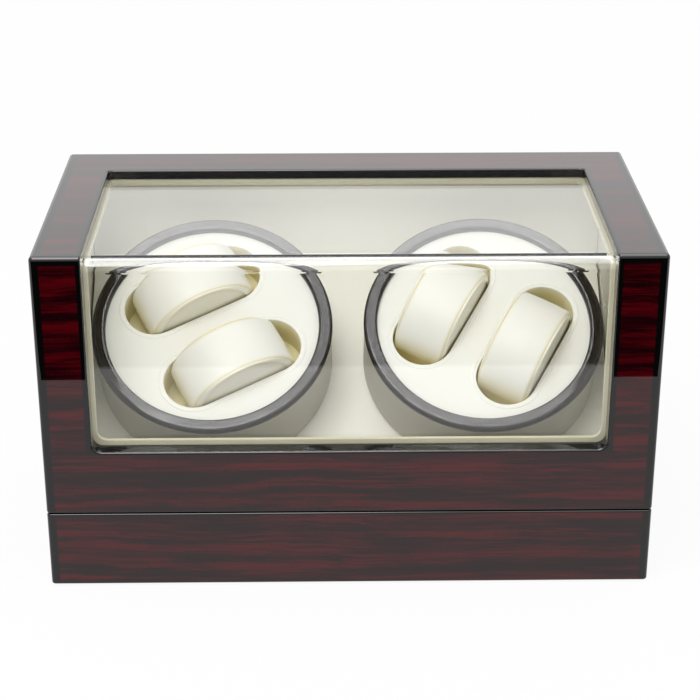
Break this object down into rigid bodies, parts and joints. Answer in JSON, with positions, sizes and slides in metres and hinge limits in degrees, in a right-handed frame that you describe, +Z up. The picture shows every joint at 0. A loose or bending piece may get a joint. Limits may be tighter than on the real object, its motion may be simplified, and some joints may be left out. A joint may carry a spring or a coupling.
{
  "type": "watch winder box",
  "caption": "Lacquered box-shaped watch winder: hinged lid with a bent clear window over front and top, and tilted motor-driven turntables that hold arched watch cushions in slots.",
  "frame": {"origin": "middle of the case's underside, on the face that it rests on", "axes": "+X to the right seen from the front, +Y to the back (hinge side), +Z up"},
  "size_m": [0.34, 0.1943, 0.2],
  "materials": {
    "lacquer": "dark red and black streaked grain under clear gloss lacquer",
    "clear_window": "clear acrylic, polished",
    "cream_board": "board covered in smooth cream leatherette",
    "cream_lining": "smooth cream lining cloth",
    "cream_leather": "soft cream leatherette over foam, piped along its long edges",
    "cream_disc": "cream flocked face",
    "well_cream": "warm cream, matt",
    "drum_grey": "cream-grey, satin",
    "ring_black": "polished black",
    "board_wood": "plain board",
    "felt": "black felt",
    "brass": "satin brass",
    "steel": "plain steel",
    "motor_can": "zinc-plated can",
    "gear_white": "moulded acetal",
    "circuit_green": "green board",
    "nylon": "white nylon",
    "lead_black": "black insulated lead",
    "control_black": "black moulded plastic"
  },
  "bodies": {
    "base": {"base_case": "lacquer", "deck_panel": "cream_board", "cheek_left": "cream_board", "cheek_right": "cream_board", "rear_board": "cream_board", "bottom_board": "board_wood", "base_felt": "felt", "hinge_leaves_base": "brass", "hinge_pins": "brass", "deck_bushes": "brass", "plate_bushes": "brass", "bottom_screws": "steel", "deck_screws": "steel", "plate_screws": "steel", "motor_screws": "steel", "hinge_screws_base": "steel", "standoffs": "steel", "bearing_plate_left": "steel", "bearing_plate_right": "steel", "motor_left": "motor_can", "motor_right": "motor_can", "circuit_board": "circuit_green", "board_spacers": "nylon", "leads": "lead_black", "dc_jack": "control_black", "mode_switch_left": "control_black", "mode_switch_right": "control_black", "power_switch": "control_black"},
    "lid": {"lid_shell": "lacquer", "window_pane": "clear_window", "pane_liner": "cream_board", "lid_side_linings": "cream_lining", "lid_back_lining": "cream_lining", "hinge_leaves_lid": "brass", "hinge_screws_lid": "steel"},
    "left_turntable": {"ring_left": "ring_black", "drum_left": "drum_grey", "face_disc_left": "cream_disc", "cushion_wells_left": "well_cream", "spindle_left": "steel", "drive_gear_left": "gear_white", "spindle_clip_left": "steel"},
    "left_pinion": {"pinion_left": "gear_white"},
    "right_turntable": {"ring_right": "ring_black", "drum_right": "drum_grey", "face_disc_right": "cream_disc", "cushion_wells_right": "well_cream", "spindle_right": "steel", "drive_gear_right": "gear_white", "spindle_clip_right": "steel"},
    "right_pinion": {"pinion_right": "gear_white"},
    "left_lower_cushion": {"cushion_left_lower": "cream_leather"},
    "left_upper_cushion": {"cushion_left_upper": "cream_leather"},
    "right_right_cushion": {"cushion_right_right": "cream_leather"},
    "right_left_cushion": {"cushion_right_left": "cream_leather"},
    "left_mode_knob": {"mode_knob_left": "control_black"},
    "right_mode_knob": {"mode_knob_right": "control_black"},
    "rocker": {"power_rocker": "control_black"}
  },
  "joints": [
    {"name": "lid_hinge", "type": "hinge", "parent": "base", "child": "lid", "pos_m": [0, 0.0926, 0.0465], "axis": [-1, 0, 0], "range_deg": [0, 95]},
    {"name": "left_turntable_spin", "type": "hinge", "parent": "base", "child": "left_turntable", "pos_m": [-0.079, -0.011, 0.128], "axis": [0, -0.6018, 0.7986], "continuous": true},
    {"name": "left_pinion_spin", "type": "hinge", "parent": "base", "child": "left_pinion", "pos_m": [-0.047, -0.011, 0.128], "axis": [0, -0.6018, 0.7986], "continuous": true},
    {"name": "right_turntable_spin", "type": "hinge", "parent": "base", "child": "right_turntable", "pos_m": [0.079, -0.011, 0.128], "axis": [0, -0.6018, 0.7986], "continuous": true},
    {"name": "right_pinion_spin", "type": "hinge", "parent": "base", "child": "right_pinion", "pos_m": [0.047, -0.011, 0.128], "axis": [0, -0.6018, 0.7986], "continuous": true},
    {"name": "left_lower_cushion_lift", "type": "slide", "parent": "left_turntable", "child": "left_lower_cushion", "axis": [0, -0.6018, 0.7986], "range_m": [0, 0.024]},
    {"name": "left_upper_cushion_lift", "type": "slide", "parent": "left_turntable", "child": "left_upper_cushion", "axis": [0, -0.6018, 0.7986], "range_m": [0, 0.024]},
    {"name": "right_right_cushion_lift", "type": "slide", "parent": "right_turntable", "child": "right_right_cushion", "axis": [0, -0.6018, 0.7986], "range_m": [0, 0.024]},
    {"name": "right_left_cushion_lift", "type": "slide", "parent": "right_turntable", "child": "right_left_cushion", "axis": [0, -0.6018, 0.7986], "range_m": [0, 0.024]},
    {"name": "left_mode_knob_turn", "type": "hinge", "parent": "base", "child": "left_mode_knob", "pos_m": [-0.079, 0.09, 0.024], "axis": [0, 1, 0], "range_deg": [-60, 60]},
    {"name": "right_mode_knob_turn", "type": "hinge", "parent": "base", "child": "right_mode_knob", "pos_m": [0.079, 0.09, 0.024], "axis": [0, 1, 0], "range_deg": [-60, 60]},
    {"name": "power_rocker_tip", "type": "hinge", "parent": "base", "child": "rocker", "pos_m": [-0.04, 0.086, 0.024], "axis": [1, 0, 0], "range_deg": [0, 16]}
  ],
  "couplings": [
    {"joint": "left_pinion_spin", "follows": "left_turntable_spin", "ratio": -3},
    {"joint": "right_pinion_spin", "follows": "right_turntable_spin", "ratio": -3}
  ]
}
